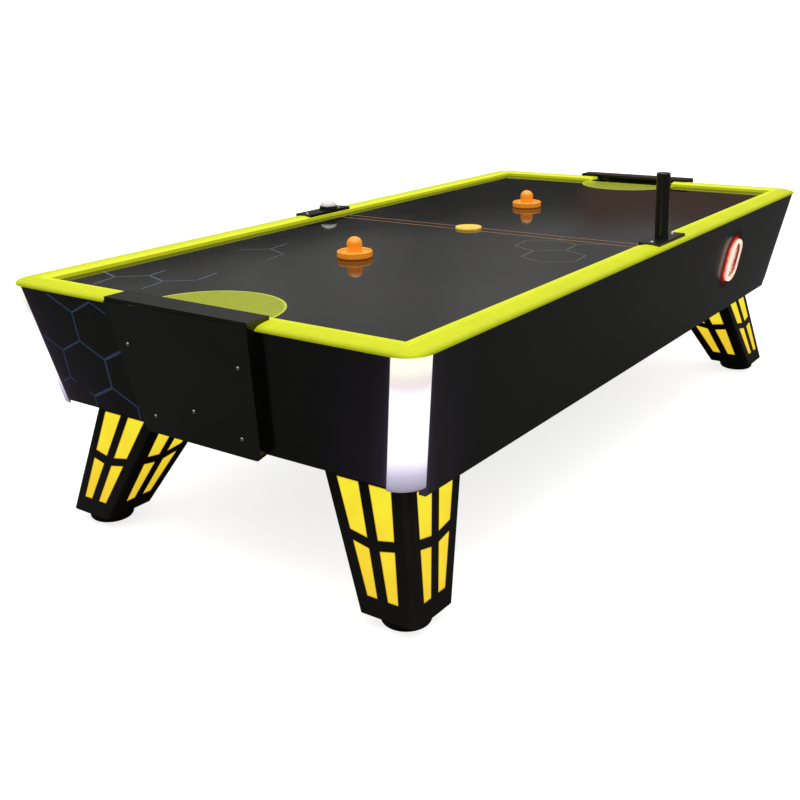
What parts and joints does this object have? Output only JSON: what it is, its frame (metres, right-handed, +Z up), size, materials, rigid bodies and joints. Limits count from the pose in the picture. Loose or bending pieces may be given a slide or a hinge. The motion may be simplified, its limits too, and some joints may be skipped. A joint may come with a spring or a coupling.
{
  "type": "air hockey table",
  "caption": "Air hockey table with glowing rails, lit corners and lit windowed legs, covered goals, a scorer post, a start button, mallets and a puck.",
  "frame": {"origin": "on the floor under the middle of the table", "axes": "+Z up, +Y along the length towards the far goal, +X towards the long side that carries the start button"},
  "size_m": [1.278, 2.5762, 0.872],
  "materials": {
    "play_surface": "board with a glossy dark grey laminate",
    "timber": "plain sawn softwood and fibreboard",
    "cabinet": "board with a gloss black laminate",
    "lit_rail": "moulded diffuser, glows yellow-green",
    "corner_diffuser": "opal diffuser, glows white",
    "led": "light strip",
    "leg_shell": "satin black coat",
    "window_diffuser": "opal diffuser, glows yellow",
    "hardware": "zinc plated",
    "foot_pad": "moulded black nylon on a steel stem",
    "goal_cover": "gloss black moulding",
    "inner_black": "plain black moulding",
    "post_black": "semi-gloss black",
    "dome_white": "opal white",
    "button_glow": "clear red lens, lit",
    "button_cap": "tinted dome",
    "sheet_steel": "galvanised sheet",
    "motor": "grey enamel",
    "fan": "moulded fan wheel",
    "mallet_orange": "moulded orange plastic",
    "puck_orange": "bright yellow-orange plastic"
  },
  "bodies": {
    "table": {"playfield": "play_surface", "plenum_board": "timber", "plenum_battens": "timber", "cross_members": "timber", "side_wall_left": "cabinet", "side_wall_right": "cabinet", "end_wall_near": "cabinet", "end_wall_far": "cabinet", "corner_blocks": "timber", "rail_left": "lit_rail", "rail_right": "lit_rail", "rail_near_left": "lit_rail", "rail_near_right": "lit_rail", "rail_far_left": "lit_rail", "rail_far_right": "lit_rail", "corner_light_near_left": "corner_diffuser", "corner_light_near_right": "corner_diffuser", "corner_light_far_left": "corner_diffuser", "corner_light_far_right": "corner_diffuser", "led_strips": "led", "leg_near_left": "leg_shell", "leg_near_right": "leg_shell", "leg_far_left": "leg_shell", "leg_far_right": "leg_shell", "leg_lens_near_left": "window_diffuser", "leg_lens_near_right": "window_diffuser", "leg_lens_far_left": "window_diffuser", "leg_lens_far_right": "window_diffuser", "leg_nut_plates": "hardware", "leg_bolts": "hardware", "goal_plate_near": "goal_cover", "goal_plate_far": "goal_cover", "goal_front_near": "goal_cover", "goal_front_far": "goal_cover", "goal_chute_near": "inner_black", "goal_chute_far": "inner_black", "goal_screws": "hardware", "post_base_left": "post_black", "post_base_right": "post_black", "post": "post_black", "post_cap": "post_black", "post_collar": "post_black", "collar_dome": "dome_white", "post_screws": "hardware", "button_ring": "button_glow", "button_housing": "inner_black", "control_box": "sheet_steel", "power_inlet": "inner_black", "blower_drum": "sheet_steel", "blower_motor": "motor"},
    "puck": {"puck": "puck_orange"},
    "mallet_near": {"mallet_near": "mallet_orange"},
    "mallet_far": {"mallet_far": "mallet_orange"},
    "impeller": {"blower_impeller": "fan"},
    "start_button": {"start_button": "button_cap"},
    "foot_near_left": {"foot_near_left": "foot_pad"},
    "foot_near_right": {"foot_near_right": "foot_pad"},
    "foot_far_left": {"foot_far_left": "foot_pad"},
    "foot_far_right": {"foot_far_right": "foot_pad"}
  },
  "joints": [
    {"name": "puck_slide", "type": "slide", "parent": "table", "child": "puck", "axis": [1, 0, 0], "range_m": [-0.49, 0.544]},
    {"name": "mallet_near_slide", "type": "slide", "parent": "table", "child": "mallet_near", "axis": [0, 1, 0], "range_m": [-0.595, 0.43]},
    {"name": "mallet_far_slide", "type": "slide", "parent": "table", "child": "mallet_far", "axis": [0, 1, 0], "range_m": [-0.363, 0.658]},
    {"name": "impeller_spin", "type": "hinge", "parent": "table", "child": "impeller", "pos_m": [0, 0, 0.5], "axis": [0, 0, 1], "continuous": true},
    {"name": "start_button_press", "type": "slide", "parent": "table", "child": "start_button", "axis": [-0.9787, 0, 0.2055], "range_m": [0, 0.004], "stiffness_N_per_m": 500, "springref_m": -0.003},
    {"name": "foot_near_left_level", "type": "slide", "parent": "table", "child": "foot_near_left", "axis": [0, 0, -1], "range_m": [0, 0.02]},
    {"name": "foot_near_right_level", "type": "slide", "parent": "table", "child": "foot_near_right", "axis": [0, 0, -1], "range_m": [0, 0.02]},
    {"name": "foot_far_left_level", "type": "slide", "parent": "table", "child": "foot_far_left", "axis": [0, 0, -1], "range_m": [0, 0.02]},
    {"name": "foot_far_right_level", "type": "slide", "parent": "table", "child": "foot_far_right", "axis": [0, 0, -1], "range_m": [0, 0.02]}
  ]
}
